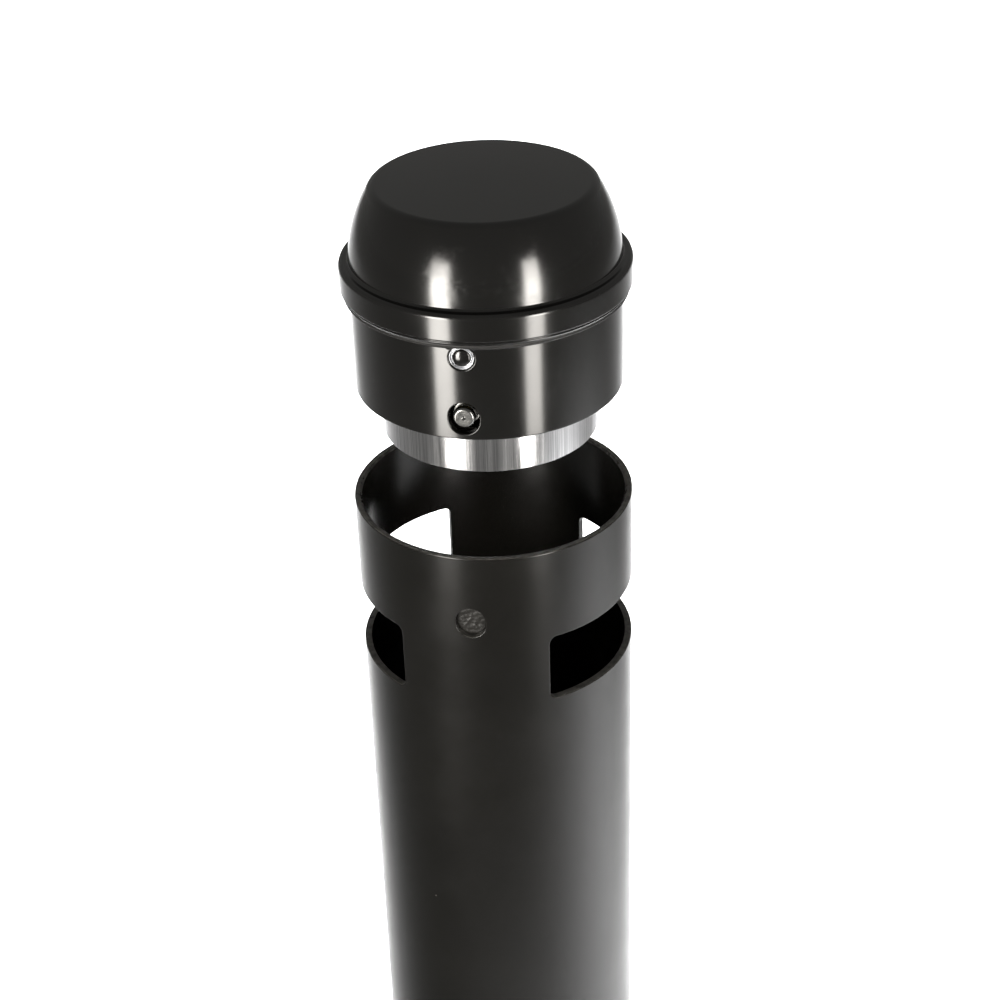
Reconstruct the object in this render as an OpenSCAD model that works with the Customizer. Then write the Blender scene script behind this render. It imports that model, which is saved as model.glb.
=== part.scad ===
// Bollard ashtray bin: steel post with two stub windows, lift-out head with a
// sprung latch, and a lift-out canister inside. Millimetres, +Z up. The origin is
// the centre of the base plate's underside, and the lock side faces -Y.

/* [Post] */
// Outside diameter of the post tube
post_d = 114.3; // [100:0.1:140]
// Wall of the post tube
post_wall = 3; // [2.5:0.1:4]
// Height of the post's rim above the ground
rim_z = 955; // [900:5:1000]
// Diameter of the base plate
plate_d = 200; // [190:5:240]
// Thickness of the base plate
plate_t = 8; // [6:1:12]
// Bolt circle of the base plate
plate_pcd = 160; // [150:5:170]
// Diameter of each anchor bolt hole
bolt_hole_d = 14; // [12:1:16]

/* [Stub windows] */
// Width of the solid ring above the windows
window_drop = 40.5; // [38:0.5:44]
// Height of each window
window_h = 30; // [24:1:34]
// Angle each window covers
window_span = 116; // [90:1:124]
// Corner radius of the windows
window_r = 3.2; // [2:0.1:5]

/* [Lock hole] */
// Depth of the latch hole's centre below the rim
lock_drop = 30.3; // [29:0.1:32]
// Width of the latch hole
lock_w = 12; // [11.5:0.1:13]
// Height of the latch hole
lock_h = 13.4; // [13:0.1:15]

/* [Head] */
// How far the head is held above its closed place
head_raise = 90; // [70:1:150]
// Outside diameter of the plug that enters the post
plug_d = 107; // [106:0.1:107.4]
// Depth of the plug below the rim
plug_len = 39.2; // [39:0.1:42]
// Diameter of the rim band
band_d = 114.3; // [112:0.1:118]
// Height of the rim band
band_h = 12.6; // [10:0.1:15]
// Radius of the dome at its foot
dome_r = 53.2; // [51:0.1:54]
// Radius of the dome's bulging side, in section
dome_side_r = 60; // [55:1:80]
// Height of the top edge above the rim
dome_top = 44.2; // [42:0.1:48]
// Thickness of the casting
cast_t = 4.5; // [4:0.1:5]

/* [Aluminium sleeve] */
// Outside diameter of the sleeve
sleeve_d = 86.8; // [84:0.1:90]
// Wall of the sleeve
sleeve_wall = 3; // [2:0.1:3.5]
// Length of the sleeve below the plug
sleeve_len = 19.5; // [18:0.1:22]

/* [Canister] */
// Outside diameter of the canister
can_d = 100; // [98:0.5:101]
// Height of the canister
can_h = 442; // [300:1:460]
// Depth of the canister's rim below the post's rim
can_drop = 150; // [145:1:200]
// Diameter of the bail's wire
bail_d = 4; // [3:0.1:4]

/* [Hidden] */
$fn = 96;
eps = 0.01;

// Post
post_r = post_d / 2;
bore_r = post_r - post_wall;
rim_bevel = 0.8;
drain_r = 10;
weld_leg = 5;
window_top = rim_z - window_drop;
window_low = window_top - window_h;
lock_z = rim_z - lock_drop;
drill_proud = 0.2;
cover_t = 0.8;
cover_gap = 0.15;

// Head, measured up from the rim of the post when it is closed
plug_r = plug_d / 2;
band_r = band_d / 2;
collar_r = bore_r - 0.3;
collar_h = 0.9;
seal_top = 1.6;
seal_low = 0.2;
seal_r = 56;
band_top = seal_top + band_h;
band_low_round = 0.8;
band_top_round = 2;
ledge_round = 1;
foot_z = band_top + ledge_round;
foot_lean = 4;
edge_round = 4;
side_top = dome_top - edge_round * (1 - sin(30));
side_lean = asin(sin(foot_lean) + (side_top - foot_z) / dome_side_r);
crown = 0.6;
floor_t = 2;
floor_r = 49.1;
hollow_r = 48;
boss_r = 10;
boss_low = -8;
stud_r = 5;
stud_top = 20;
running = 0.05;

// Sleeve and what clamps it
sleeve_r = sleeve_d / 2;
sleeve_bore = sleeve_r - sleeve_wall;
cup_plate_z = -plug_len - 6;
cup_plate_t = 2;
washer_t = 1.5;
washer_r = 11;
nut_h = 6.5;
nut_af = 17;
stud_low = cup_plate_z - cup_plate_t - washer_t - nut_h - 2;

// Latch: the leaf hangs from the screw and carries the pin
screw_z = -4.9;
screw_r = 2.5;
screw_head_r = 3.45;
screw_head_h = 1.3;
screw_rim_h = 0.25;
sink_r = 4.95;
sink_y = 51.9;
sink_washer_r = 4.7;
sink_washer_t = 0.6;
sink_washer_wall = 0.5;
sink_washer_rim = 1.2;
leaf_y = 47.4;
leaf_t = 0.8;
leaf_w = 9;
leaf_eye_r = 5;
pocket_y = 50.5;
pocket_w = 13;
pin_z = -29.8;
pin_r = 4.2;
pin_nose_y = 53.8;
pin_bevel = 0.7;
pin_dimple_r = 0.9;
pin_tail_r = 2.5;
pin_tail_h = 1.2;
collar_d = 10.5;
collar_t = 1.6;
clamp_t = 1.6;
clamp_nut_h = 4;
clamp_nut_af = 8;

// Canister
can_top = rim_z - can_drop;
can_low = can_top - can_h;
can_r = can_d / 2;
can_wall = 0.8;
shelf_t = 4;
shelf_in = 44;
roll_r = 1.5;
roll_at = can_r + roll_r - can_wall + 0.1;
bail_r = bail_d / 2;
bail_pin_r = bail_r - 0.1;
bail_gap = 0.3;
bail_side_gap = 0.7;
bail_z = can_top + bail_r + bail_gap;
ear_out = can_r - can_wall - 0.6;
ear_t = 2;
ear_w = 14;
ear_low = 16;
ear_eye_r = 5;
bail_loop = ear_out + bail_r + bail_side_gap;
bail_in = ear_out - ear_t - 1.6;
rivet_r = 2;

// An arc's points from angle a to angle b about (x, y)
function arc(x, y, r, a, b, n = 12) = [for (i = [0 : n]) let (t = a + (b - a) * i / n)
    [x + r * cos(t), y + r * sin(t)]];

// The dome's side, leaning in from its foot to its top edge
function dome_side(r, foot, lean_a, lean_b, n = 16) = [for (i = [0 : n])
    let (t = lean_a + (lean_b - lean_a) * i / n)
    [r - dome_side_r * (cos(lean_a) - cos(t)), foot + dome_side_r * (sin(t) - sin(lean_a))]];

module ring(r_out, r_in, low, high) {
    translate([0, 0, low]) difference() {
        cylinder(r = r_out, h = high - low, $fn = 192);
        translate([0, 0, -1]) cylinder(r = r_in, h = high - low + 2, $fn = 192);
    }
}

// A cylinder along -Y whose ends are at distances a and b from the axis
module rod_y(r, a, b, z = 0) {
    translate([0, -a, z]) rotate([90, 0, 0]) cylinder(r = r, h = b - a);
}

// An upright slot of round ends, cut along -Y from distance a to distance b
module slot_y(w, h, a, b, z) {
    rod_y(w / 2, a, b, z - (h - w) / 2);
    rod_y(w / 2, a, b, z + (h - w) / 2);
    translate([-w / 2, -b, z - (h - w) / 2]) cube([w, b - a, h - w]);
}

module hex_nut(af, bore, h) {
    difference() {
        cylinder(d = af / cos(30), h = h, $fn = 6);
        translate([0, 0, -1]) cylinder(r = bore, h = h + 2, $fn = 48);
    }
}

// A sector of the tube wall, centred on azimuth at, for cutting
module wall_sector(at, span, low, high) {
    translate([0, 0, low]) rotate([0, 0, at - span / 2])
        rotate_extrude(angle = span, $fn = 192)
        translate([bore_r - 2, 0]) square([post_wall + 4, high - low]);
}

// One window: two crossed sectors with a round drill at each corner, a little proud of both
module window_cut(at) {
    reach = window_r - drill_proud;
    inset = reach / post_r * 180 / PI;
    wall_sector(at, window_span, window_low + reach, window_top - reach);
    wall_sector(at, window_span - 2 * inset, window_low, window_top);
    for (side = [-1, 1], z = [window_low + reach, window_top - reach])
        rotate([0, 0, at + side * (window_span / 2 - inset)])
        translate([bore_r - 2, 0, z]) rotate([0, 90, 0])
        cylinder(r = window_r, h = post_wall + 4);
}

module in_head() {
    translate([0, 0, rim_z + head_raise]) children();
}

// ---- post ----

module post_tube() {
    color("#17181a") difference() {
        ring(post_r, bore_r, plate_t, rim_z);
        translate([0, 0, rim_z - rim_bevel])
            cylinder(r1 = bore_r, r2 = bore_r + rim_bevel + eps, h = rim_bevel + eps, $fn = 192);
        for (at = [0, 180]) window_cut(at);
        slot_y(lock_w, lock_h, bore_r - 3, post_r + 3, lock_z);
    }
}

module base_plate() {
    color("#17181a") difference() {
        cylinder(d = plate_d, h = plate_t, $fn = 192);
        translate([0, 0, -1]) cylinder(r = drain_r, h = plate_t + 2);
        for (i = [0 : 3]) rotate([0, 0, 45 + 90 * i])
            translate([plate_pcd / 2, 0, -1]) cylinder(d = bolt_hole_d, h = plate_t + 2);
    }
}

module base_weld() {
    color("#17181a") rotate_extrude($fn = 192)
        polygon([[post_r, plate_t], [post_r + weld_leg, plate_t], [post_r, plate_t + weld_leg]]);
}

module canister_shelf() {
    color("#4a4b4d") ring(bore_r, shelf_in, can_low - shelf_t, can_low);
}

// Soft blank in the inner end of the lock hole
module lock_hole_cover() {
    color("#3c3c3a") slot_y(lock_w, lock_h, bore_r + cover_gap, bore_r + cover_gap + cover_t, lock_z);
}

// ---- head ----

module head_casting() {
    // The inside runs parallel to the dome and stops at a flat roof
    hollow_top = dome_top - cast_t;
    hollow_side = [for (i = [8 : -1 : 0])
        let (p = dome_side(hollow_r, band_top, foot_lean, side_lean, 8)[i])
        if (p[1] < hollow_top) p];
    outline = concat(
        [[floor_r + running, -plug_len], [plug_r - 0.5, -plug_len], [plug_r, -plug_len + 0.5],
         [plug_r, -collar_h], [collar_r, -collar_h + (collar_r - plug_r)], [collar_r, seal_top]],
        arc(band_r - band_low_round, seal_top + band_low_round, band_low_round, -90, 0, 6),
        arc(band_r - band_top_round, band_top - band_top_round, band_top_round, 0, 90, 8),
        [[dome_r + ledge_round, band_top]],
        dome_side(dome_r, foot_z, foot_lean, side_lean),
        let (top = dome_side(dome_r, foot_z, foot_lean, side_lean, 1)[1])
        arc(top[0] - edge_round * cos(side_lean), top[1] - edge_round * sin(side_lean),
            edge_round, side_lean, 88, 8),
        [[0, dome_top + crown], [0, hollow_top], [hollow_side[0][0], hollow_top]],
        hollow_side,
        [[hollow_r, -plug_len + floor_t], [floor_r + running, -plug_len + floor_t]]);
    color("#0c0c0d") in_head() difference() {
        union() {
            rotate_extrude($fn = 192) polygon(outline);
            translate([0, 0, boss_low]) cylinder(r = boss_r, h = dome_top - cast_t - boss_low + 1);
            translate([-6, -hollow_r - 1, -11]) cube([12, hollow_r + 1 - leaf_y, 12]);
        }
        translate([0, 0, boss_low - 1]) cylinder(r = stud_r + running, h = stud_top - boss_low + 1.5);
        rod_y(screw_r + running, leaf_y - 3, plug_r + 1, screw_z);
        rod_y(sink_r, sink_y, plug_r + 1, screw_z);
        slot_y(lock_w, lock_h, leaf_y - 3, plug_r + 3, -lock_drop);
        translate([-pocket_w / 2, -pocket_y, -plug_len + floor_t])
            cube([pocket_w, pocket_y - hollow_r + 6, plug_len - floor_t - 12]);
    }
}

module seat_seal() {
    color("#1b1b1b") in_head() ring(seal_r, collar_r + running, seal_low, seal_top);
}

module plug_floor() {
    color("#9a9c9e") in_head() ring(floor_r, stud_r + 0.4, -plug_len, -plug_len + floor_t);
}

module stub_sleeve() {
    color("#c9cbce") in_head() ring(sleeve_r, sleeve_bore, -plug_len - sleeve_len, -plug_len);
}

module sleeve_plate() {
    color("#b5b7ba") in_head()
        ring(sleeve_bore - running, stud_r + 0.4, cup_plate_z - cup_plate_t, cup_plate_z);
}

module centre_stud() {
    color("#a4a6a8") in_head() translate([0, 0, stud_low]) cylinder(r = stud_r, h = stud_top - stud_low);
}

module plate_washer() {
    low = cup_plate_z - cup_plate_t - washer_t;
    color("#b5b7ba") in_head() ring(washer_r, stud_r + 0.4, low, low + washer_t);
}

module plate_nut() {
    color("#a4a6a8") in_head() translate([0, 0, stud_low + 2]) hex_nut(nut_af, stud_r + running, nut_h);
}

module latch_screw() {
    shank = sink_y + sink_washer_t;
    color("#0c0c0d") in_head() {
        rod_y(screw_r, leaf_y - leaf_t - clamp_t - clamp_nut_h - 1, shank + 0.5, screw_z);
        translate([0, -shank, screw_z]) rotate([90, 0, 0]) rotate_extrude($fn = 64)
            polygon(concat([[0, 0], [screw_head_r, 0]], [for (i = [0 : 8]) let (t = 90 * i / 8)
                [screw_head_r * cos(t), screw_rim_h + (screw_head_h - screw_rim_h) * sin(t)]]));
    }
}

module screw_washer() {
    color("#b5b7ba") in_head() difference() {
        rod_y(sink_washer_r, sink_y, sink_y + sink_washer_rim, screw_z);
        rod_y(sink_washer_r - sink_washer_wall, sink_y + sink_washer_t, sink_y + 2, screw_z);
        rod_y(screw_r + running, sink_y - 1, sink_y + 2, screw_z);
    }
}

module spring_clamp() {
    color("#a4a6a8") in_head() difference() {
        translate([-5, -leaf_y + leaf_t, screw_z - 5]) cube([10, clamp_t, 10]);
        rod_y(screw_r + running, leaf_y - 6, leaf_y + 2, screw_z);
    }
}

module clamp_nut() {
    back = leaf_y - leaf_t - clamp_t;
    color("#a4a6a8") in_head() translate([0, -back, screw_z]) rotate([-90, 0, 0])
        hex_nut(clamp_nut_af, screw_r + running, clamp_nut_h);
}

// ---- latch ----

module latch_spring() {
    color("#b9963f") in_head() difference() {
        union() {
            translate([-leaf_w / 2, -leaf_y, pin_z]) cube([leaf_w, leaf_t, screw_z + 5 - pin_z]);
            rod_y(leaf_eye_r, leaf_y - leaf_t, leaf_y, pin_z);
        }
        rod_y(screw_r + running, leaf_y - 3, leaf_y + 3, screw_z);
        rod_y(pin_tail_r + running, leaf_y - 3, leaf_y + 3, pin_z);
    }
}

module pin_collar() {
    color("#6d6f71") in_head() difference() {
        rod_y(collar_d / 2, leaf_y, leaf_y + collar_t, pin_z);
        rod_y(pin_tail_r + running, leaf_y - 1, leaf_y + 3, pin_z);
    }
}

module latch_pin() {
    root = leaf_y + collar_t;
    color("#8f9193") in_head() {
        rod_y(pin_tail_r, leaf_y - leaf_t - 0.5, root + 0.5, pin_z);
        rod_y(pin_tail_r + 1.3, leaf_y - leaf_t - pin_tail_h, leaf_y - leaf_t, pin_z);
        translate([0, -root, pin_z]) rotate([90, 0, 0]) rotate_extrude($fn = 96)
            polygon([[0, 0], [pin_r, 0], [pin_r, pin_nose_y - root - pin_bevel],
                [pin_r - pin_bevel, pin_nose_y - root], [pin_dimple_r, pin_nose_y - root],
                [0, pin_nose_y - root - 0.8]]);
    }
}

// ---- canister ----

module canister_shell() {
    color("#9ea2a5") difference() {
        ring(can_r, can_r - can_wall, can_low, can_top - roll_r);
        for (side = [-1, 1], low = [-12, -6])
            translate([side * ear_out, 0, can_top + low]) rotate([0, 90 * side, 0])
            translate([0, 0, -1]) cylinder(r = rivet_r + running, h = 4, $fn = 48);
    }
}

module canister_base() {
    color("#9ea2a5") translate([0, 0, can_low]) cylinder(r = can_r - can_wall - running, h = 1.2);
}

// Rolled edge around the mouth, seated over the shell
module canister_rim() {
    color("#9ea2a5") rotate_extrude($fn = 192) translate([0, can_top - roll_r]) difference() {
        translate([roll_at, 0]) circle(r = roll_r, $fn = 32);
        translate([can_r - 3, -roll_r - 1]) square([3, roll_r + 1]);
    }
}

module bail_ears() {
    color("#9ea2a5") for (side = [-1, 1]) difference() {
        translate([side * (ear_out - ear_t / 2), 0, 0]) union() {
            translate([-ear_t / 2, -ear_w / 2, can_top - ear_low]) cube([ear_t, ear_w, ear_low]);
            translate([-ear_t / 2, 0, bail_z]) rotate([0, 90, 0]) cylinder(r = ear_eye_r, h = ear_t);
        }
        translate([side * ear_out, 0, bail_z]) rotate([0, 90, 0])
            cylinder(r = bail_pin_r + running, h = 4 * ear_t, center = true, $fn = 48);
        for (low = [-12, -6]) translate([side * ear_out, 0, can_top + low]) rotate([0, 90, 0])
            cylinder(r = rivet_r + running, h = 4 * ear_t, center = true, $fn = 48);
    }
}

module ear_rivets() {
    inner = ear_out - ear_t - 1;
    color("#b5b7ba") for (side = [-1, 1], low = [-12, -6])
        translate([side * inner, 0, can_top + low]) rotate([0, 90 * side, 0]) {
            cylinder(r = rivet_r, h = can_r - inner + 0.2, $fn = 48);
            cylinder(r = rivet_r + 0.8, h = 1, $fn = 48);
        }
}

module bail_handle() {
    color("#b5b7ba") translate([0, 0, bail_z]) {
        rotate_extrude(angle = 180, $fn = 192) translate([bail_loop, 0]) circle(r = bail_r, $fn = 32);
        for (side = [-1, 1]) translate([side * bail_in, 0, 0]) rotate([0, 90 * side, 0])
            cylinder(r = bail_pin_r, h = bail_loop + bail_pin_r - bail_in, $fn = 48);
    }
}

post_tube();
base_plate();
base_weld();
canister_shelf();
lock_hole_cover();
head_casting();
seat_seal();
plug_floor();
stub_sleeve();
sleeve_plate();
centre_stud();
plate_washer();
plate_nut();
latch_screw();
screw_washer();
spring_clamp();
clamp_nut();
latch_spring();
pin_collar();
latch_pin();
canister_shell();
canister_base();
canister_rim();
bail_ears();
ear_rivets();
bail_handle();
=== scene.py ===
"""Bollard ashtray bin with its head lifted off the post.

Every visible piece is rebuilt here at its CAD place as a smooth mesh with rounded
edges, in millimetres, and gets a procedural material. The lock side faces -Y.
"""
import math

import bpy
from mathutils import Matrix, Vector, noise
from mathutils.geometry import delaunay_2d_cdt


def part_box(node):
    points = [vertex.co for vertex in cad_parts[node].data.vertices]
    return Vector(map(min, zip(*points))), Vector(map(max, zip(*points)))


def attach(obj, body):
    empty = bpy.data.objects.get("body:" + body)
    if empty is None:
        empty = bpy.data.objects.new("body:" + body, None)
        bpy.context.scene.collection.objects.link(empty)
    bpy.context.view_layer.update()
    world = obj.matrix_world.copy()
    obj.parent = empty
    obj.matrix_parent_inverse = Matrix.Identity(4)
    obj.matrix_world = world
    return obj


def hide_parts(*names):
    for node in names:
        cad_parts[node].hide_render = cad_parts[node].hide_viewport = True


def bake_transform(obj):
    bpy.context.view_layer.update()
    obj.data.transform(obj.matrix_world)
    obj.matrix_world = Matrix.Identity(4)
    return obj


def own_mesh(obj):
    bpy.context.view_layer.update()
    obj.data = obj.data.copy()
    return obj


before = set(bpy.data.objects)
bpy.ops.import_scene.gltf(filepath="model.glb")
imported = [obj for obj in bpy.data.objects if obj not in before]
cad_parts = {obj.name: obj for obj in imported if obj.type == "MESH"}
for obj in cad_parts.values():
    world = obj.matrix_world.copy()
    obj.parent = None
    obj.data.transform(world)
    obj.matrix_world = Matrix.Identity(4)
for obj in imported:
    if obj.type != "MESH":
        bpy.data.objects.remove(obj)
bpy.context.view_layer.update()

MM = 0.001
COLUMNS = 288          # facets round the large lathed pieces
SMALL_COLUMNS = 96     # facets round the small ones
FINE_TURN = math.radians(15)   # largest turn of one facet in a fillet
FILLET_FACET = 2.5     # longest facet of a fillet, in mm
WELD = 1e4             # points closer than a ten-thousandth of a millimetre are one
HOLE_MARGIN = 0.6      # grid points keep this far from the edge of a hole


def box_mm(node):
    """Lowest and highest corner of a CAD node, in mm."""
    low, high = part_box(node)
    return low / MM, high / MM


def origin_z(node, offset):
    """Height of a reference plane, given how far a node's underside is above it."""
    return box_mm(node)[0].z - offset


# ---- sizes, in mm ----

POST_LOW, POST_HIGH = box_mm("post_tube")
RIM_Z = POST_HIGH.z
POST_R = POST_HIGH.x
POST_WALL = 3.0
BORE_R = POST_R - POST_WALL
WINDOW_DROP = 40.5
WINDOW_H = 30.0
WINDOW_SPAN = 116.0
WINDOW_R = 3.2
LOCK_DROP = 30.3
LOCK_W = 12.0
LOCK_H = 13.4
CUT_EDGE = 0.45        # rounding of the painted edges of every cut
BLANK_FIT = 0.15       # gap round the blank in the lock hole
ANCHOR_CIRCLE_R = 80
ANCHOR_HOLE_R = 7
DRAIN_R = 10
SHELF_WIDTH = 10.15

PLUG_LEN = 39.2
SEAT_Z = origin_z("head_casting", -PLUG_LEN)
PLUG_R = 53.5
COLLAR_R = 53.85
COLLAR_LOW = -0.9
BAND_R = box_mm("head_casting")[1].x
BAND_LOW = 1.6
BAND_TOP = 14.2
DOME_R = 53.2
DOME_SIDE_R = 60.0
DOME_FOOT = 15.2
DOME_FOOT_LEAN = 4.0
DOME_TOP = 44.2
DOME_EDGE_R = 4.0
DOME_CROWN = 0.6
CAST_T = 4.5
HOLLOW_R = 48.0
SCREW_Z = -4.9
SINK_R = 4.95
SINK_FLOOR = 51.9
LATCH_Z = -LOCK_DROP
POCKET_R = 50.6
POCKET_W = 13.0
POCKET_TOP = -12.0
FLOOR_T = 2.0
FLOOR_R = 49.15
BOSS_R = 10.0
BOSS_LOW = -8.0
STUD_R = 5.0
STUD_TOP = 20.0
DISC_BORE = STUD_R + 0.4
SHANK_R = 2.5          # the latch screw's shank, and the pin's tail
SHANK_BORE = 2.55
CLAMP_BORE = 2.6

SLEEVE_R = box_mm("stub_sleeve")[1].x
SLEEVE_BORE = SLEEVE_R - 3.0
LEAF_Y = 47.4
LEAF_T = 0.8
LEAF_BACK = LEAF_Y - LEAF_T
PIN_Z = -29.8
PIN_R = 4.2
PIN_NOSE_Y = -box_mm("latch_pin")[0].y
PIN_BEVEL = 0.7
PIN_HEAD_R = 3.7
COLLAR_T = 1.6

CAN_LOW = box_mm("canister_shell")[0].z
CAN_TOP = box_mm("canister_rim")[1].z
CAN_R = box_mm("canister_shell")[1].x
CAN_WALL = 0.8
BAIL_Z = (box_mm("bail_handle")[0].z + box_mm("bail_handle")[1].z) / 2
BAIL_R = 2.0
BAIL_LOOP = box_mm("bail_handle")[1].y - BAIL_R
EAR_T = 2.0


# ---- mesh tools ----

class Skin:
    """A mesh under construction, in mm. Each vertex brings its normal, and equal points weld."""

    def __init__(self):
        self.points = []
        self.normals = []
        self.faces = []
        self.index = {}

    def vertex(self, point, normal):
        key = tuple(round(c * WELD) for c in point)
        if key not in self.index:
            self.index[key] = len(self.points)
            self.points.append(Vector(point))
            self.normals.append(Vector(normal).normalized())
        return self.index[key]

    def face(self, *corners):
        loop = [c for i, c in enumerate(corners) if c != corners[i - 1]]
        if len(set(loop)) < 3:
            return
        a, b, c = (self.points[loop[i]] for i in (0, 1, 2))
        facing = (b - a).cross(c - b)
        if len(loop) == 4:
            facing += (self.points[loop[3]] - c).cross(a - self.points[loop[3]])
        if facing.dot(sum((self.normals[i] for i in loop), Vector())) < 0:
            loop.reverse()
        self.faces.append(loop)

    def ribbon(self, one, other, closed=True):
        """Quads between two rows of vertices."""
        count = len(one)
        for k in range(count if closed else count - 1):
            n = (k + 1) % count
            self.face(one[k], one[n], other[n], other[k])

    def displace(self, push):
        """Moves every vertex along its normal by push(point, normal) mm."""
        for i, (point, normal) in enumerate(zip(self.points, self.normals)):
            self.points[i] = point + normal * push(point, normal)

    def place(self, matrix):
        self.points = [matrix @ p for p in self.points]
        turn = matrix.to_3x3()
        self.normals = [turn @ n for n in self.normals]


def piece(skin, name, body, slot, stands_for, smooth_angle=None):
    """Makes the Blender object of a skin, with its slot's material, and ties it to its body
    and its CAD nodes."""
    mesh = bpy.data.meshes.new(name)
    mesh.from_pydata([p * MM for p in skin.points], [], skin.faces)
    mesh.update()
    mesh.shade_smooth()
    if smooth_angle is None:
        mesh.normals_split_custom_set_from_vertices(skin.normals)
    else:
        mesh.set_sharp_from_angle(angle=math.radians(smooth_angle))
    mesh.materials.append(MATERIALS[slot])
    made = bpy.data.objects.new(name, mesh)
    bpy.context.scene.collection.objects.link(made)
    if body:
        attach(made, body)
    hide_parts(*stands_for)
    return made


def rounded(corners, closed=False, span=None):
    """Fillets a path of (x, y, radius) into (point, normal), normals to the right of travel."""
    made = []

    def add(point, normal):
        if made and (made[-1][0] - point).length < 1e-6:
            return
        if made and span:
            start = made[-1][0]
            parts = math.ceil((point - start).length / span)
            for k in range(1, parts):
                made.append((start.lerp(point, k / parts), made[-1][1]))
        made.append((point, normal))

    count = len(corners)
    spots = [Vector(c[:2]) for c in corners]
    for i, spot in enumerate(spots):
        radius = corners[i][2] if len(corners[i]) > 2 else 0
        into = (spot - spots[i - 1]).normalized() if closed or i else None
        out = (spots[(i + 1) % count] - spot).normalized() if closed or i < count - 1 else None
        if into is None or out is None:
            way = into or out
            add(spot, Vector((way.y, -way.x)))
            continue
        turn = math.atan2(into.x * out.y - into.y * out.x, into.dot(out))
        side = math.copysign(1, turn)
        cut = radius * math.tan(abs(turn) / 2)
        centre = spot - into * cut + Vector((-into.y, into.x)) * radius * side
        steps = max(2, math.ceil(abs(turn) / FINE_TURN),
                    math.ceil(radius * abs(turn) / FILLET_FACET))
        for k in range(steps + 1):
            angle = turn * k / steps
            way = Vector((into.x * math.cos(angle) - into.y * math.sin(angle),
                          into.x * math.sin(angle) + into.y * math.cos(angle)))
            right = Vector((way.y, -way.x))
            add(centre + right * radius * side, right)
    if closed and span:
        add(made[0][0], made[0][1])
        made.pop()
    return made


def circle(u, v, radius, count=64):
    """A circle as a closed loop, with normals pointing away from its centre."""
    turns = (2 * math.pi * k / count for k in range(count))
    ways = [Vector((math.cos(t), math.sin(t))) for t in turns]
    return [(Vector((u, v)) + way * radius, way) for way in ways]


def slot_loop(u, v, width, height, radius=None, span=None):
    """An upright rounded rectangle as a closed loop."""
    r = width / 2 if radius is None else radius
    sides = ((-1, -1), (1, -1), (1, 1), (-1, 1))
    return rounded([(u + a * width / 2, v + b * height / 2, r) for a, b in sides], True, span)


def lathe(skin, path, columns=COLUMNS, closed=False, radius_at=None):
    """Turns a path of (radius, height) about the Z axis. radius_at(r, z, turn) may warp it."""
    rows = []
    for (r, z), (out, up) in path:
        row = []
        for k in range(columns):
            turn = 2 * math.pi * k / columns
            s, c = math.sin(turn), -math.cos(turn)
            reach = radius_at(r, z, turn) if radius_at else r
            row.append(skin.vertex((reach * s, reach * c, z), (out * s, out * c, up)))
        rows.append(row)
    if closed:
        rows.append(rows[0])
    for one, other in zip(rows, rows[1:]):
        skin.ribbon(one, other)


def unrolled(skin, reference, step_at=None):
    """A placer for a tube's wall: u runs round it at the reference radius, v is height, and w is
    the radius. step_at(v) adds to the radius, for a wall with a step in it."""
    def place(u, v, w, normal):
        turn = u / reference
        out = Vector((math.sin(turn), -math.cos(turn), 0))
        along = Vector((math.cos(turn), math.sin(turn), 0))
        extra, slope = step_at(v) if step_at and w >= reference - 1e-6 else (0, 0)
        outward = out - Vector((0, 0, slope))
        way = along * normal[0] + Vector((0, 0, normal[1])) + outward * normal[2]
        return skin.vertex(out * (w + extra) + Vector((0, 0, v)), way)
    return place


def upright(skin):
    """A placer for plates that face -Y: u is X, v is Z, w is the distance in front of the axis."""
    return lambda u, v, w, n: skin.vertex((u, -w, v), (n[0], -n[2], n[1]))


def level(skin):
    """A placer for level plates: u is X, v is Y, w is Z."""
    return lambda u, v, w, n: skin.vertex((u, v, w), n)


def sideways(skin, side):
    """A placer for plates that face X: u is Y, v is Z, w is the distance from the axis."""
    return lambda u, v, w, n: skin.vertex((side * w, u, v), (side * n[2], n[0], n[1]))


def offset(loop, by):
    """The points of a loop, moved along their normals."""
    return [point + normal * by for point, normal in loop]


def inside(point, ring):
    """Whether a point is within a closed ring, by counting the edges to its right."""
    x, y = point
    odd = False
    for a, b in zip(ring, ring[1:] + ring[:1]):
        if (a[1] > y) != (b[1] > y) and x < (b[0] - a[0]) * (y - a[1]) / (b[1] - a[1]) + a[0]:
            odd = not odd
    return odd


def limits(ring, margin):
    """A ring's lowest and highest x and y, with a margin."""
    xs, ys = [p[0] for p in ring], [p[1] for p in ring]
    return min(xs) - margin, max(xs) + margin, min(ys) - margin, max(ys) + margin


def cover(skin, place, w, facing, outline, holes, inner=()):
    """Fills the flat area inside an outline and round its holes with triangles at depth w."""
    flat = []
    edges = []
    for ring in [outline, *holes]:
        start = len(flat)
        flat += ring
        edges += [(start + k, start + (k + 1) % len(ring)) for k in range(len(ring))]
    boxes = [limits(ring, HOLE_MARGIN) for ring in holes]
    for p in inner:
        near = [h for h, (a, b, c, d) in zip(holes, boxes) if a < p[0] < b and c < p[1] < d]
        if not any(inside(p, h) or min((Vector(p) - q).length for q in h) < HOLE_MARGIN
                   for h in near):
            flat.append(Vector(p))
    spots, _, triangles, origins, _, _ = delaunay_2d_cdt(flat, edges, [], 0, 1e-7)
    made = [place(*(flat[o[0]] if o else s), w, (0, 0, facing)) for s, o in zip(spots, origins)]
    for triangle in triangles:
        middle = sum((spots[i] for i in triangle), Vector((0, 0))) / 3
        holed = any(a < middle.x < b and c < middle.y < d and inside(middle, h)
                    for h, (a, b, c, d) in zip(holes, boxes))
        if not holed and inside(middle, outline):
            skin.face(*(made[i] for i in triangle))


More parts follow.
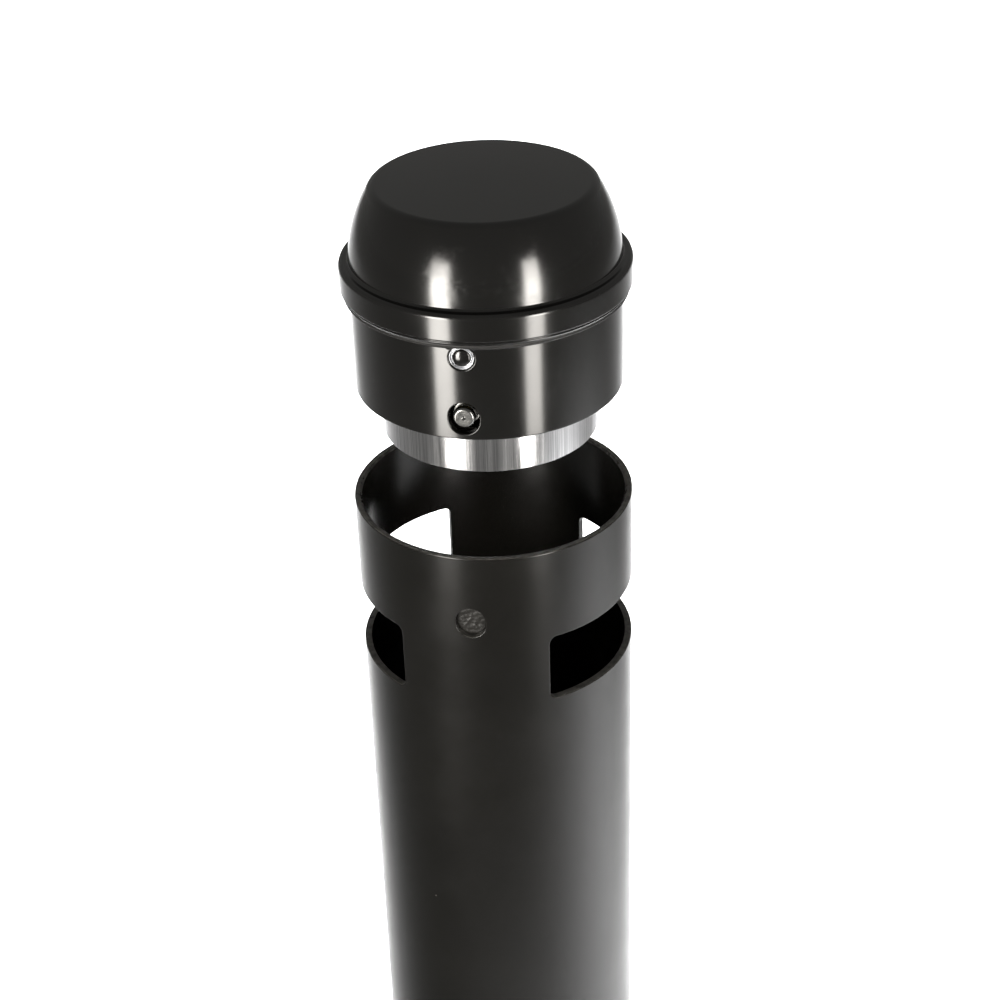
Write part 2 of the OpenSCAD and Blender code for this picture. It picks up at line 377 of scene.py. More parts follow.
def sweep(skin, place, loop, section, rough=None):
    """Runs a section of (offset, depth) round a loop. rough(u, v, depth) may push it off."""
    rows = []
    for (off, depth), (n_off, n_depth) in section:
        row = []
        for point, normal in loop:
            push = off + (rough(point.x, point.y, depth) if rough and off < 1e-6 else 0)
            spot = point + normal * push
            row.append(place(spot.x, spot.y, depth, (n_off * normal.x, n_off * normal.y, n_depth)))
        rows.append(row)
    for one, other in zip(rows, rows[1:]):
        skin.ribbon(one, other)


def hole_section(front, back, edge=CUT_EDGE, span=None):
    """The wall of a hole from the front depth to the back depth, with both edges rounded."""
    return rounded([(edge, front), (0, front, edge), (0, back, edge), (edge, back)], span=span)


def plate(skin, place, outline, holes, back, front, edge=0.25, inner=()):
    """A flat plate with rounded edges, from the back depth to the front depth."""
    cover(skin, place, front, 1, offset(outline, -edge), [offset(h, edge) for h in holes], inner)
    cover(skin, place, back, -1, offset(outline, -edge), [offset(h, edge) for h in holes], inner)
    rim = rounded([(-edge, back), (0, back, edge), (0, front, edge), (-edge, front)])
    sweep(skin, place, outline, rim)
    for hole in holes:
        sweep(skin, place, hole, hole_section(front, back, edge))


def tube(skin, route, radius, sides=24):
    """A round wire along a level route of (x, y, z) points, with flat ends."""
    rows = []
    for i, point in enumerate(route):
        way = (route[min(i + 1, len(route) - 1)] - route[max(i - 1, 0)]).normalized()
        across = Vector((way.y, -way.x, 0))
        row = []
        for k in range(sides):
            turn = 2 * math.pi * k / sides
            out = across * math.cos(turn) + Vector((0, 0, math.sin(turn)))
            row.append(skin.vertex(point + out * radius, out))
        rows.append(row)
    for one, other in zip(rows, rows[1:]):
        skin.ribbon(one, other)
    for row, way in ((rows[0], route[0] - route[1]), (rows[-1], route[-1] - route[-2])):
        tip = skin.vertex(sum((skin.points[i] for i in row), Vector()) / sides, way)
        for k in range(sides):
            skin.face(row[k], row[(k + 1) % sides], tip)


HEX_SLIM = math.cos(math.pi / 6)    # a hexagon's width across flats over its width across corners


def hexagon(across_flats):
    """radius_at for a hex nut: wall points keep to the hexagon, with its corners chamfered."""
    flat = across_flats / 2

    def radius_at(r, z, turn):
        if r < flat - 1e-6:
            return r
        swing = (turn + math.pi / 6) % (math.pi / 3) - math.pi / 6
        return min(flat / math.cos(swing), r)
    return radius_at


# ---- materials ----

class Finish:
    """A Principled material and short ways to add nodes to it."""

    def __init__(self, name, **sockets):
        self.material = bpy.data.materials.new(name)
        self.material.use_nodes = True
        self.tree = self.material.node_tree
        self.shader = self.tree.nodes["Principled BSDF"]
        for socket, value in sockets.items():
            self.shader.inputs[socket.replace("_", " ")].default_value = value
        self.where = self.add("TexCoord").outputs["Object"]

    def add(self, kind, settings=(), **inputs):
        node = self.tree.nodes.new("ShaderNode" + kind)
        for key, value in dict(settings).items():
            setattr(node, key, value)
        for key, value in inputs.items():
            numbered = key[0] == "i" and key[1:].isdigit()
            socket = node.inputs[int(key[1:]) if numbered else key]
            if isinstance(value, bpy.types.NodeSocket):
                self.tree.links.new(value, socket)
            else:
                socket.default_value = value
        return node

    def math(self, operation, *values):
        inputs = {f"i{i}": value for i, value in enumerate(values)}
        return self.add("Math", {"operation": operation}, **inputs).outputs[0]

    def noise(self, scale, detail=3.0, rough=0.5, at=None):
        node = self.add("TexNoise", Vector=at or self.where, Scale=scale, Detail=detail,
                        Roughness=rough)
        return node.outputs["Fac"]

    def span(self, value, low, high, to_low, to_high):
        """Maps low..high of a value to to_low..to_high, and clamps it."""
        node = self.add("MapRange", Value=value)
        for i, v in enumerate((low, high, to_low, to_high)):
            node.inputs[i + 1].default_value = v
        return node.outputs["Result"]

    def mix(self, share, one, other):
        node = self.add("Mix", {"data_type": "RGBA"})
        for i, value in ((0, share), (6, one), (7, other)):
            if isinstance(value, bpy.types.NodeSocket):
                self.tree.links.new(value, node.inputs[i])
            else:
                node.inputs[i].default_value = value
        return node.outputs[2]

    def bump(self, *layers):
        """Bumps of (height, distance in mm, strength), one after the other."""
        normal = None
        for height, depth, strength in layers:
            node = self.add("Bump", Height=height, Distance=depth * MM, Strength=strength)
            if normal:
                self.tree.links.new(normal, node.inputs["Normal"])
            normal = node.outputs["Normal"]
        self.tree.links.new(normal, self.shader.inputs["Normal"])

    def set(self, **links):
        for socket, value in links.items():
            self.tree.links.new(value, self.shader.inputs[socket.replace("_", " ")])

    def turned(self, about_z, rings):
        """Coordinates (turn, height) round the Z axis, stretched for lines along the axis."""
        parts = self.add("SeparateXYZ", Vector=self.where)
        turn = self.math("ARCTAN2", parts.outputs["X"], parts.outputs["Y"])
        wide = self.math("MULTIPLY", turn, rings)
        tall = self.math("MULTIPLY", parts.outputs["Z"], about_z)
        return self.add("CombineXYZ", X=wide, Y=tall).outputs["Vector"]


def rgb(red, green, blue):
    return (red, green, blue, 1.0)


def specks(finish, scale, size, keep):
    """Sparse round specks, 1 inside and 0 outside; keep is the share of cells with one."""
    cells = finish.add("TexVoronoi", Vector=finish.where, Scale=scale)
    near = finish.span(cells.outputs["Distance"], size, size * 0.5, 0, 1)
    pick = finish.add("SeparateColor", Color=cells.outputs["Color"]).outputs["Red"]
    return finish.math("MULTIPLY", near, finish.span(pick, 1 - keep, 1 - keep + 0.01, 0, 1))


def post_paint():
    """Satin black powder coat: orange peel, faint mottling, dust specks, and up-facing ledges near
    the top of the post painted lighter as if lit from above, with a crusty bump.
    """
    f = Finish("post_paint", IOR=1.5, Specular_IOR_Level=0.36)
    mottle = f.noise(26, 3, 0.55)
    dust = specks(f, 95, 0.055, 0.04)
    normal = f.add("NewGeometry").outputs["Normal"]
    up = f.add("SeparateXYZ", Vector=normal).outputs["Z"]
    height = f.add("SeparateXYZ", Vector=f.where).outputs["Z"]
    # painted light: faces that look up near the top of the post (the rim's top and the windows'
    # lower cut faces) are made lighter, as if lit from above
    top_light_mask = f.math("MULTIPLY", f.span(up, 0.45, 0.9, 0, 1),
                       f.span(height, 0.8, 0.84, 0.3, 1))
    crust = f.noise(330, 4, 0.7)
    painted_light_ledge = f.math("MULTIPLY", top_light_mask, f.span(crust, 0.35, 0.6, 0.35, 1))
    black = f.mix(mottle, rgb(0.0036, 0.0034, 0.0029), rgb(0.0062, 0.0058, 0.0049))
    worn = f.mix(dust, black, rgb(0.07, 0.066, 0.06))
    smooth = f.span(f.noise(42, 4, 0.6), 0.3, 0.7, 0.2, 0.26)
    # the lighter ledge colour is painted light on the up-facing ledges
    f.set(Base_Color=f.mix(painted_light_ledge, worn, rgb(0.085, 0.082, 0.074)),
          Roughness=f.math("ADD", smooth, f.math("MULTIPLY", painted_light_ledge, 0.16)))
    f.bump((f.noise(620, 2, 0.5), 0.012, 0.5), (f.noise(150, 2, 0.4), 0.02, 0.35),
           (dust, 0.05, 0.4), (f.math("MULTIPLY", top_light_mask, crust), 0.35, 0.6))
    return f.material


def head_paint():
    """Gloss black enamel over a casting: soft waviness, dust specks and rubbed patches."""
    f = Finish("head_paint", IOR=1.6, Specular_IOR_Level=0.5)
    dust = specks(f, 120, 0.06, 0.06)
    scuffs = f.math("MULTIPLY", f.span(f.noise(70, 5, 0.7), 0.56, 0.72, 0, 1),
                    f.span(f.noise(14, 2, 0.5), 0.5, 0.62, 0, 1))
    black = f.mix(f.noise(20, 2, 0.5), rgb(0.0022, 0.0021, 0.0018), rgb(0.004, 0.0037, 0.0032))
    smooth = f.span(f.noise(30, 3, 0.6), 0.3, 0.7, 0.13, 0.18)
    f.set(Base_Color=f.mix(dust, black, rgb(0.12, 0.115, 0.1)),
          Roughness=f.math("ADD", smooth, f.math("MULTIPLY", scuffs, 0.14)))
    f.bump((f.noise(110, 2, 0.4), 0.02, 0.3), (f.noise(700, 2, 0.5), 0.004, 0.4),
           (dust, 0.04, 0.5))
    return f.material


def sleeve_aluminium():
    """Bright extruded aluminium: die lines along the sleeve, patchy haze and fine sparkle."""
    f = Finish("sleeve_aluminium", Metallic=1.0)
    lines = f.noise(1, 4, 0.75, f.turned(9, 60))
    broad = f.noise(1, 2, 0.5, f.turned(3, 9))
    grain = f.noise(900, 3, 0.6)
    tone = f.mix(f.span(lines, 0.3, 0.7, 0, 1),
                 rgb(0.24, 0.24, 0.25), rgb(0.84, 0.84, 0.85))
    haze = f.span(broad, 0.35, 0.65, 0.08, 0.22)
    f.set(Base_Color=tone, Roughness=f.math("ADD", haze, f.math("MULTIPLY", grain, 0.06)))
    f.bump((lines, 0.05, 0.35), (grain, 0.006, 0.5))
    return f.material


def galvanised_steel():
    """Zinc-coated sheet with soft spangle."""
    f = Finish("galvanised_steel", Metallic=1.0)
    cells = f.add("TexVoronoi", Vector=f.where, Scale=130)
    pick = f.add("SeparateColor", Color=cells.outputs["Color"]).outputs["Green"]
    grime = f.noise(18, 4, 0.6)
    zinc = f.mix(pick, rgb(0.36, 0.37, 0.38), rgb(0.5, 0.51, 0.52))
    f.set(Base_Color=f.mix(f.span(grime, 0.5, 0.75, 0, 0.6), zinc, rgb(0.2, 0.19, 0.17)),
          Roughness=f.span(pick, 0, 1, 0.34, 0.52))
    f.bump((f.noise(260, 3, 0.5), 0.02, 0.3))
    return f.material


def plated_steel():
    """Bright zinc plate on the stud, nuts, rivets and wire."""
    f = Finish("plated_steel", Metallic=1.0)
    tone = f.mix(f.noise(90, 3, 0.6), rgb(0.42, 0.43, 0.45), rgb(0.62, 0.63, 0.65))
    f.set(Base_Color=tone, Roughness=f.span(f.noise(240, 3, 0.6), 0.3, 0.7, 0.22, 0.4))
    f.bump((f.noise(500, 2, 0.5), 0.008, 0.4))
    return f.material


def turned_steel():
    """Machined steel of the latch pin and its collar: tool rings round the pin's axis."""
    f = Finish("turned_steel", Metallic=1.0)
    centre = (0, 0, (SEAT_Z + PIN_Z) * MM)
    from_axis = f.add("VectorMath", {"operation": "SUBTRACT"}, i0=f.where, i1=centre)
    flat = f.add("VectorMath", {"operation": "MULTIPLY"},
                 i0=from_axis.outputs[0], i1=(1, 0, 1))
    reach = f.add("VectorMath", {"operation": "LENGTH"}, i0=flat.outputs[0])
    outwards = f.add("CombineXYZ", X=reach.outputs["Value"]).outputs[0]
    rings = f.noise(2600, 2, 0.6, outwards)
    wear = f.noise(600, 3, 0.6)
    tone = f.mix(f.span(rings, 0.3, 0.7, 0, 1),
                 rgb(0.09, 0.09, 0.088), rgb(0.36, 0.36, 0.35))
    f.set(Base_Color=f.mix(f.span(wear, 0.5, 0.8, 0, 0.5), tone, rgb(0.12, 0.115, 0.11)),
          Roughness=f.span(wear, 0.3, 0.7, 0.16, 0.28))
    f.bump((rings, 0.012, 0.5))
    return f.material


def yellow_zinc():
    """Yellow-passivated spring steel: gold with green and red tints."""
    f = Finish("yellow_zinc", Metallic=1.0)
    gold = f.mix(f.noise(160, 3, 0.6), rgb(0.62, 0.43, 0.1), rgb(0.8, 0.66, 0.27))
    tint = f.mix(f.span(f.noise(90, 2, 0.5), 0.5, 0.7, 0, 0.55), gold, rgb(0.5, 0.52, 0.2))
    f.set(Base_Color=tint, Roughness=f.span(f.noise(300, 3, 0.5), 0.3, 0.7, 0.2, 0.36))
    f.bump((f.noise(420, 2, 0.5), 0.01, 0.4))
    return f.material


def rubber(name, dark, light, roughness, grain, depth):
    """Black rubber: matt, faintly mottled, with a moulded grain."""
    f = Finish(name, Specular_IOR_Level=0.35)
    fine = f.noise(grain, 4, 0.65)
    f.set(Base_Color=f.mix(fine, dark, light),
          Roughness=f.span(fine, 0.3, 0.7, roughness - 0.06, roughness + 0.06))
    f.bump((fine, depth, 0.5))
    return f.material


MATERIALS = {
    "post_paint": post_paint(),
    "head_paint": head_paint(),
    "sleeve_aluminium": sleeve_aluminium(),
    "galvanised_steel": galvanised_steel(),
    "plated_steel": plated_steel(),
    "turned_steel": turned_steel(),
    "yellow_zinc": yellow_zinc(),
    "seal_rubber": rubber("seal_rubber", rgb(0.01, 0.01, 0.01), rgb(0.022, 0.021, 0.02),
                          roughness=0.55, grain=500, depth=0.02),
    "blank_rubber": rubber("blank_rubber", rgb(0.006, 0.0057, 0.0051), rgb(0.016, 0.015, 0.0128),
                           roughness=0.34, grain=330, depth=0.1),
}


# ---- post ----

def lumps(size, depth):
    """Roughness of a hand-cut edge: a push that varies along it and across it."""
    return lambda u, v, w: depth * noise.noise(Vector((u, v, w * 0.6)) / size)


def wall_columns(radius):
    """Where the columns of an unrolled wall lie, and half of the way round it."""
    around = radius * math.pi
    return [2 * around * k / COLUMNS - around for k in range(COLUMNS + 1)], around


def wall_outline(columns, around, low, top, heights):
    """The outline of an unrolled wall, with points at its columns and inner heights."""
    return ([Vector((u, low)) for u in columns] + [Vector((around, v)) for v in heights]
            + [Vector((u, top)) for u in reversed(columns)]
            + [Vector((-around, v)) for v in reversed(heights)])


def make_post():
    """The tube, with a finer band near its rim for the windows and the lock hole."""
    skin = Skin()
    place = unrolled(skin, POST_R)
    band_low = RIM_Z - WINDOW_DROP - WINDOW_H - 12
    band_top = RIM_Z - 3
    lathe(skin, rounded([(BORE_R, band_low), (BORE_R, POST_LOW.z, 0.3), (POST_R, POST_LOW.z, 0.3),
                         (POST_R, band_low)], span=40))
    lathe(skin, rounded([(POST_R, band_top), (POST_R, RIM_Z, 0.7), (BORE_R + 0.9, RIM_Z, 0.35),
                         (BORE_R, RIM_Z - 1.1, 0.4), (BORE_R, band_top)]))
    columns, around = wall_columns(POST_R)
    heights = [band_low + (band_top - band_low) * k / 32 for k in range(1, 32)]
    outline = wall_outline(columns, around, band_low, band_top, heights)
    window_mid = RIM_Z - WINDOW_DROP - WINDOW_H / 2
    window_w = math.radians(WINDOW_SPAN) * POST_R
    windows = [slot_loop(side * around / 2, window_mid, window_w, WINDOW_H, WINDOW_R, span=1.5)
               for side in (-1, 1)]
    lock = slot_loop(0, RIM_Z - LOCK_DROP, LOCK_W, LOCK_H)
    rings = [offset(loop, CUT_EDGE) for loop in (*windows, lock)]
    inner = [(u, v) for u in columns[1:-1] for v in heights]
    cover(skin, place, POST_R, 1, outline, rings, inner)
    cover(skin, place, BORE_R, -1, outline, rings, inner)
    for loop in windows:
        sweep(skin, place, loop, hole_section(POST_R, BORE_R, span=0.6), lumps(1.6, 0.14))
    sweep(skin, place, lock, hole_section(POST_R, BORE_R, span=0.8), lumps(2.5, 0.06))
    piece(skin, "post_tube_painted", "post", "post_paint", ["post_tube"])


def make_base():
    """The base plate with its anchor and drain holes, and the rippled weld round the post."""
    low, high = box_mm("base_plate")
    skin = Skin()
    anchors = [circle(ANCHOR_CIRCLE_R * math.sin(t), ANCHOR_CIRCLE_R * math.cos(t), ANCHOR_HOLE_R)
               for t in (math.radians(a) for a in (45, 135, 225, 315))]
    plate(skin, level(skin), circle(0, 0, high.x, COLUMNS), [circle(0, 0, DRAIN_R), *anchors],
          low.z, high.z, 0.9)
    piece(skin, "base_plate_painted", "post", "post_paint", ["base_plate"])

    leg = box_mm("base_weld")[1].x - POST_R
    bead = Skin()

    def ripple(r, z, turn):
        if r < POST_R + 0.2:
            return r
        along = turn * POST_R - 1.1 * math.cos((z - high.z) / leg * math.pi)
        wander = noise.noise(Vector((math.sin(turn), math.cos(turn), 0)) * 4)
        return r - 0.22 * (0.5 + 0.5 * math.cos(along * 2 * math.pi / 2.4)) - 0.2 * (1 + wander)
    lathe(bead, rounded([(POST_R - 0.1, high.z), (POST_R + leg, high.z, 0.5),
                         (POST_R + leg * 0.62, high.z + leg * 0.55, 2.2),
                         (POST_R + 0.1, high.z + leg, 0.3),
                         (POST_R - 0.1, high.z + leg - 0.3, 0.1)],
                        closed=True), columns=3 * COLUMNS, closed=True, radius_at=ripple)
    piece(bead, "base_weld_bead", "post", "post_paint", ["base_weld"], smooth_angle=60)


def ring(name, body, slot, node, inner_r, edge=0.3, columns=COLUMNS):
    """A lathed ring with rounded edges in the place of a CAD ring."""
    low, high = box_mm(node)
    skin = Skin()
    lathe(skin, rounded([(inner_r, low.z, edge), (high.x, low.z, edge), (high.x, high.z, edge),
                         (inner_r, high.z, edge)], closed=True), columns, closed=True)
    piece(skin, name, body, slot, [node])


def make_lock_cover():
    """The rough blank behind the lock hole, with its lumpy front face."""
    low, high = box_mm("lock_hole_cover")
    skin = Skin()
    middle = (low.z + high.z) / 2
    reach_u, reach_v = (high.x - low.x) / 2 - BLANK_FIT, (high.z - low.z) / 2 - BLANK_FIT
    outline = slot_loop(0, middle, 2 * reach_u, 2 * reach_v)
    flat_part = offset(outline, -0.9)
    grid = 0.4
    inner = [(x * grid, middle + z * grid) for x in range(-15, 16) for z in range(-17, 18)]
    inner = [p for p in inner if inside(p, flat_part)]
    plate(skin, upright(skin), outline, [], -high.y, -low.y - 0.25, 0.25, inner)

    def lump(point, normal):
        if normal.y > -0.7:
            return 0
        stretched = Vector((point.x * 0.45 + point.z * 0.3, 0, point.z * 0.62 - point.x * 0.3))
        return 0.2 * noise.noise(stretched) + 0.12 * noise.noise(point * 1.7)
    skin.displace(lump)
    blank = piece(skin, "lock_hole_blank", "post", "blank_rubber", ["lock_hole_cover"],
                  smooth_angle=80)
    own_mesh(blank)


# ---- head ----

def collar_step(v):
    """Extra radius of the plug's wall at height v, for the collar at its top, and its slope."""
    rise, run = COLLAR_R - PLUG_R, 0.5
    share = min(max((v - SEAT_Z - COLLAR_LOW) / run + 0.5, 0), 1)
    return rise * share * share * (3 - 2 * share), rise / run * 6 * share * (1 - share)


def dome_path():
    """The casting's outside from the collar's top over the band and the dome to the axis."""
    lean_a = math.radians(DOME_FOOT_LEAN)
    side_top = DOME_TOP - DOME_EDGE_R * (1 - math.sin(math.radians(30)))
    lean_b = math.asin(math.sin(lean_a) + (side_top - DOME_FOOT) / DOME_SIDE_R)
    cut = DOME_SIDE_R * math.tan((lean_b - lean_a) / 2)
    waist = Vector((DOME_R - cut * math.sin(lean_a), DOME_FOOT + cut * math.cos(lean_a)))
    rise = (DOME_TOP - waist.y) / math.cos(lean_b)
    brow = waist + Vector((-math.sin(lean_b), math.cos(lean_b))) * rise
    return [(BAND_R - 1.1, BAND_LOW, 0.3), (BAND_R - 0.5, BAND_LOW + 0.9, 0.25),
            (BAND_R - 0.85, BAND_LOW + 1.35, 0.2), (BAND_R, BAND_LOW + 2.1, 0.5),
            (BAND_R, BAND_TOP, 2.0), (DOME_R, BAND_TOP, 1.3), (waist.x, waist.y, DOME_SIDE_R - 2),
            (brow.x, brow.y, DOME_EDGE_R), (0, DOME_TOP + DOME_CROWN)]


def make_casting():
    """The head: dome, band and hollow plug, with the latch hole and the screw's sunk hole."""
    skin = Skin()
    z = SEAT_Z
    foot = z - PLUG_LEN
    floor_top = foot + FLOOR_T
    sheet_low, sheet_top = foot + 1, z + 0.9
    outside = [(r, z + h, *e) for r, h, *e in dome_path()]
    lathe(skin, rounded([(COLLAR_R, sheet_top), (COLLAR_R, z + BAND_LOW, 0.25), *outside]))

    hollow_top = DOME_TOP - CAST_T
    bore, bore_top = STUD_R + 0.05, z + STUD_TOP + 1.5
    lathe(skin, rounded([
        (0, bore_top), (bore, bore_top, 0.4), (bore, z + BOSS_LOW, 0.4),
        (BOSS_R, z + BOSS_LOW, 0.8), (BOSS_R, z + hollow_top, 2),
        (HOLLOW_R - 9.5, z + hollow_top, 4), (HOLLOW_R - 0.6, z + BAND_TOP + 9, 8),
        (HOLLOW_R, z + BAND_TOP, 8), (HOLLOW_R, z + 2)]))
    lathe(skin, rounded([(HOLLOW_R, floor_top + 1), (HOLLOW_R, floor_top, 0.15),
                         (FLOOR_R, floor_top, 0.15), (FLOOR_R, foot, 0.15),
                         (PLUG_R, foot, 0.6), (PLUG_R, sheet_low)]))

    place = unrolled(skin, PLUG_R, collar_step)
    columns, around = wall_columns(PLUG_R)
    latch = slot_loop(0, z + LATCH_Z, LOCK_W, LOCK_H)
    sink = circle(0, z + SCREW_Z, SINK_R)
    dish = 0.55
    fine = [z + COLLAR_LOW + d for d in (-0.45, -0.25, -0.12, 0, 0.12, 0.25, 0.5, 1.1)]
    coarse = [z + COLLAR_LOW - 1.5 - 2.4 * k for k in range(15)]
    rows = sorted(v for v in coarse + fine if sheet_low + 0.5 < v < sheet_top - 0.3)
    inner = [(u, v) for u in columns[1:-1] for v in rows]
    cover(skin, place, PLUG_R, 1, wall_outline(columns, around, sheet_low, sheet_top, rows),
          [offset(latch, CUT_EDGE), offset(sink, dish)], inner)

    low, top = floor_top + 1, z + 2
    pocket_low = floor_top + 1.6
    pocket = slot_loop(0, (pocket_low + z + POCKET_TOP) / 2, POCKET_W * PLUG_R / HOLLOW_R + 0.6,
                       z + POCKET_TOP - pocket_low, 1.2, span=2)
    shank = circle(0, z + SCREW_Z, SHANK_BORE, 32)
    rows = [low + (top - low) * k / 10 for k in range(1, 10)]
    inner = [(u, v) for u in columns[1:-1] for v in rows]
    cover(skin, place, HOLLOW_R, -1, wall_outline(columns, around, low, top, rows),
          [offset(pocket, 0.3), offset(shank, 0.2)], inner)
    sweep(skin, place, pocket, rounded([(-0.3, POCKET_R), (0, POCKET_R, 0.3), (0, HOLLOW_R, 0.3),
                                        (0.3, HOLLOW_R)]))
    cover(skin, place, POCKET_R, -1, offset(pocket, -0.3), [offset(latch, 0.3)])
    sweep(skin, place, latch, rounded([(CUT_EDGE, PLUG_R), (0, PLUG_R, CUT_EDGE),
                                       (0, POCKET_R, 0.3), (0.3, POCKET_R)]), lumps(3, 0.05))
    sweep(skin, place, sink, rounded([(dish, PLUG_R), (0, PLUG_R, dish), (0, SINK_FLOOR, 0.2),
                                      (-0.3, SINK_FLOOR)]))
    cover(skin, place, SINK_FLOOR, 1, offset(sink, -0.3), [offset(shank, 0.2)])
    sweep(skin, place, shank, hole_section(SINK_FLOOR, HOLLOW_R, 0.2))
    piece(skin, "head_casting_enamelled", "head", "head_paint", ["head_casting"])


def make_seal():
    """The rubber ring under the band, with a fine groove round it."""
    low, high = box_mm("seat_seal")
    skin = Skin()
    inner, outer, middle = COLLAR_R + 0.05, high.x, (low.z + high.z) / 2
    lathe(skin, rounded([
        (inner, low.z, 0.1), (outer - 0.2, low.z, 0.25), (outer, middle - 0.12, 0.15),
        (outer - 0.35, middle, 0.06), (outer, middle + 0.12, 0.15),
        (outer - 0.1, high.z, 0.15), (inner, high.z, 0.1)], closed=True), closed=True)
    piece(skin, "seat_seal_ring", "head", "seal_rubber", ["seat_seal"])


def make_sleeve():
    """The aluminium sleeve, with small nicks in its lower edge."""
    low, high = box_mm("stub_sleeve")
    skin = Skin()
    wall = rounded([(SLEEVE_BORE, low.z, 0.25), (SLEEVE_R, low.z, 0.3), (SLEEVE_R, high.z, 0.25),
                    (SLEEVE_BORE, high.z, 0.25)], closed=True, span=1.2)
    lathe(skin, wall, 2 * COLUMNS, closed=True)

    def nick(point, normal):
        if point.z > low.z + 0.9:
            return 0
        bite = noise.noise(Vector((point.x, point.y, 0)) * 0.55)
        return -0.28 * max(0, bite - 0.25) / 0.75
    skin.displace(nick)
    piece(skin, "stub_sleeve_bright", "head", "sleeve_aluminium", ["stub_sleeve"])


def facing_front(height):
    """Turns a piece lathed about Z to point along -Y at a height."""
    return Matrix.Translation((0, 0, height)) @ Matrix.Rotation(math.radians(90), 4, "X")


def front_lathe(name, body, slot, node, height, path, closed=False):
    """A piece lathed about an axis along -Y; path heights are distances from the post's axis."""
    skin = Skin()
    lathe(skin, path, SMALL_COLUMNS, closed)
    skin.place(facing_front(height))
    piece(skin, name, body, slot, [node])


def thread(radius, low, high, pitch, depth=0.55):
    """Corners of a threaded stretch, going up."""
    corners = []
    for k in range(int((high - low) / pitch)):
        corners += [(radius - depth, low + pitch * k, 0.08),
                    (radius, low + pitch * (k + 0.5), 0.08)]
    return corners


def make_fasteners():
    """The latch screw, its dished washer, and the plate that clamps the leaf."""
    z = SEAT_Z + SCREW_Z
    back = -box_mm("latch_screw")[1].y
    seat = SINK_FLOOR + 0.6
    head_r, head_h, side_h = 3.45, 1.35, 0.25
    brow = seat + side_h
    dome = [(head_r * math.cos(t), brow + (head_h - side_h) * math.sin(t), 0.6)
            for t in (math.radians(9 * k) for k in range(1, 10))]
    front_lathe("latch_screw_domed", "head", "head_paint", "latch_screw", z, rounded([
        (0, back), (2.1, back, 0.3), *thread(SHANK_R, back + 0.4, LEAF_Y - 1, 0.8, 0.35),
        (SHANK_R, LEAF_Y, 0.1), (SHANK_R, seat, 0.1), (head_r, seat, 0.1), (head_r, brow, 0.1),
        *dome, (0, seat + head_h)]))
    rim_r, rim_top = 4.7, SINK_FLOOR + 1.2
    lip_r, lip_top, lip_foot = head_r + 0.1, seat + 0.4, seat - 0.02
    groove = SINK_FLOOR + 0.25
    front_lathe("screw_washer_dished", "head", "plated_steel", "screw_washer", z, rounded([
        (SHANK_BORE, SINK_FLOOR, 0.05), (rim_r, SINK_FLOOR, 0.1), (rim_r, rim_top, 0.14),
        (rim_r - 0.3, rim_top, 0.14), (rim_r - 0.35, groove, 0.1), (lip_r + 0.3, groove, 0.1),
        (lip_r + 0.22, lip_top, 0.1), (lip_r, lip_top, 0.1), (lip_r, lip_foot, 0.02),
        (SHANK_BORE, lip_foot, 0.02)], closed=True), closed=True)

    skin = Skin()
    plate(skin, upright(skin), slot_loop(0, z, 10, 10, 1), [circle(0, z, CLAMP_BORE, 32)],
          LEAF_BACK - 1.6, LEAF_BACK, 0.3)
    piece(skin, "spring_clamp_plate", "head", "plated_steel", ["spring_clamp"])


def nut(name, node, across, bore, matrix, height):
    """A hex nut with chamfered corners, made upwards from its lower face and then placed."""
    skin = Skin()
    flat, corner = across / 2, across / 2 / HEX_SLIM
    drop = (corner - flat) * 0.6
    profile = rounded([
        (bore, 0, 0.3), (flat, 0, 0.05), (corner, drop, 0.05), (corner, height - drop, 0.05),
        (flat, height, 0.05), (bore, height, 0.3)], closed=True)
    lathe(skin, profile, 144, closed=True, radius_at=hexagon(across))
    skin.place(matrix)
    piece(skin, name, "head", "plated_steel", [node], smooth_angle=28)


def make_stack():
    """The discs, stud, washer and nut under the plug, and the nut of the leaf's clamp."""
    for name, node in (("plug_floor_disc", "plug_floor"), ("sleeve_plate_disc", "sleeve_plate")):
        ring(name, "head", "plated_steel", node, DISC_BORE)
    ring("plate_washer_disc", "head", "plated_steel", "plate_washer", DISC_BORE, 0.2,
         SMALL_COLUMNS)
    low, high = box_mm("centre_stud")
    skin = Skin()
    tip_r = STUD_R - 1
    lathe(skin, rounded([(0, low.z), (tip_r, low.z, 0.2),
                         *thread(STUD_R, low.z + 1, high.z - 1, 1.5),
                         (tip_r, high.z, 0.2), (0, high.z)]), 72)
    piece(skin, "centre_stud_threaded", "head", "plated_steel", ["centre_stud"],
          smooth_angle=40)
    low, high = box_mm("plate_nut")
    nut("plate_nut_hex", "plate_nut", 2 * max(high.x, high.y) * HEX_SLIM, STUD_R + 0.05,
        Matrix.Translation((0, 0, low.z)), high.z - low.z)
    low, high = box_mm("clamp_nut")
    outward = facing_front(SEAT_Z + SCREW_Z) @ Matrix.Translation((0, 0, -high.y))
    nut("clamp_nut_hex", "clamp_nut", 8, SHANK_BORE, outward, high.y - low.y)


# ---- latch ----

